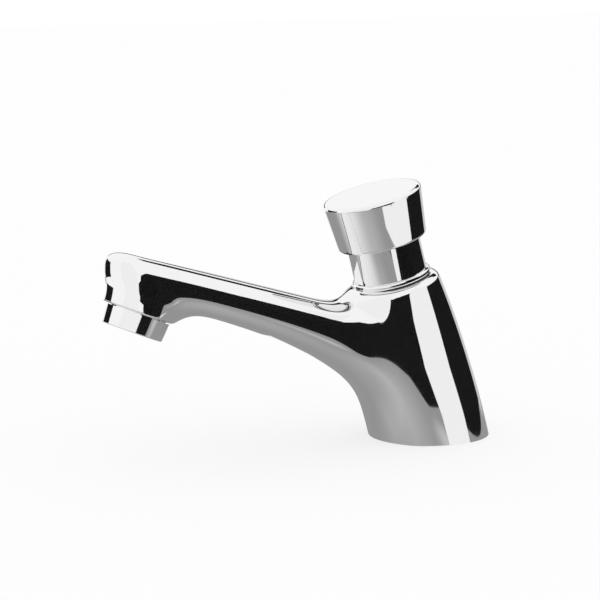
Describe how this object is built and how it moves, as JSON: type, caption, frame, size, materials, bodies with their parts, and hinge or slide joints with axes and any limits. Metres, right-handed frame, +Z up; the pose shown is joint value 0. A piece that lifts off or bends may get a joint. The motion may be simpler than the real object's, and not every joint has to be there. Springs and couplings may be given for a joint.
{
  "type": "push timed tap",
  "caption": "Chrome push timed basin tap with a leaning pillar, a cast rising spout and a conical push knob that closes by itself.",
  "frame": {"origin": "centre of the pillar's foot on the deck, at the mouth of the hose thread", "axes": "+Z up from the deck, -X towards the spout's tip, +Y to the right of someone who looks along the spout from behind"},
  "size_m": [0.1628, 0.047, 0.1031],
  "materials": {
    "chrome": "polished",
    "brass": "machined",
    "steel": "brushed",
    "rubber": "matt",
    "white_plastic": "matt",
    "grey_plastic": "matt"
  },
  "bodies": {
    "tap_body": {"body": "chrome", "base_gasket": "rubber", "inlet_strainer": "steel", "valve_seat": "brass", "seat_o_ring": "rubber", "collar_gasket": "rubber", "collar_ring": "chrome", "bonnet": "chrome", "bonnet_o_ring": "rubber", "barrel": "brass", "barrel_o_rings": "rubber", "stem_bush": "white_plastic", "stem_seal": "rubber", "metering_pin": "steel", "aerator_housing": "chrome", "aerator_insert": "grey_plastic", "aerator_screens": "steel", "flow_regulator": "white_plastic", "aerator_seal": "rubber", "return_spring": "steel"},
    "push_button": {"push_knob": "chrome", "knob_insert": "grey_plastic", "knob_clip": "steel", "stem": "steel", "piston": "white_plastic", "piston_seal": "rubber", "piston_clip": "steel", "valve_washer": "rubber", "valve_disc": "brass", "valve_nut": "brass"}
  },
  "joints": [
    {"name": "push", "type": "slide", "parent": "tap_body", "child": "push_button", "axis": [0.2588, 0, -0.9659], "range_m": [0, 0.007], "stiffness_N_per_m": 1500, "springref_m": -0.006, "deforming": ["return_spring"]}
  ]
}
